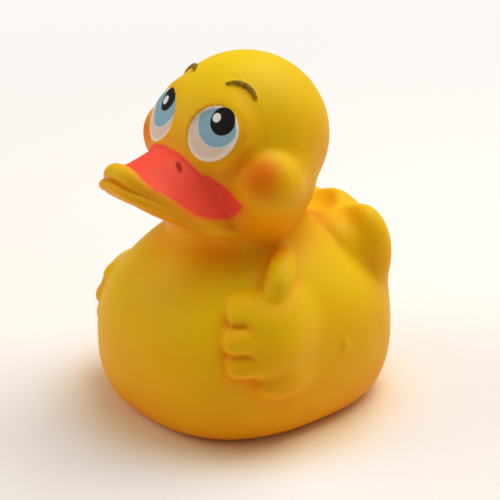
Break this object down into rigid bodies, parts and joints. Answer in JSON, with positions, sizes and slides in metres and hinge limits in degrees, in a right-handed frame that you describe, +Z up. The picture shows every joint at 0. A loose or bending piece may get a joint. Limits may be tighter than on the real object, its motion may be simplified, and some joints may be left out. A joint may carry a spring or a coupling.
{
  "type": "rubber duck",
  "caption": "Hollow moulded latex bath duck that looks up, with an open broad bill, raised eyes and brows, a thumb raised on its left flank, a scalloped tail and a squeaker in its base.",
  "frame": {"origin": "centre of the object's box on the face it rests on", "axes": "+X the way the duck faces, +Y the duck's own left side, where the thumb stands up, +Z up"},
  "size_m": [0.0798, 0.0726, 0.0923],
  "materials": {
    "latex": "satin yellow natural latex, hand painted red, orange, white, blue, black and brown",
    "squeaker_plastic": "moulded off-white plastic",
    "reed_film": "thin pale plastic film"
  },
  "bodies": {
    "root": {"duck_skin": "latex", "squeaker_cup": "squeaker_plastic", "squeaker_reed_seat": "squeaker_plastic", "squeaker_reed": "reed_film"}
  },
  "joints": []
}
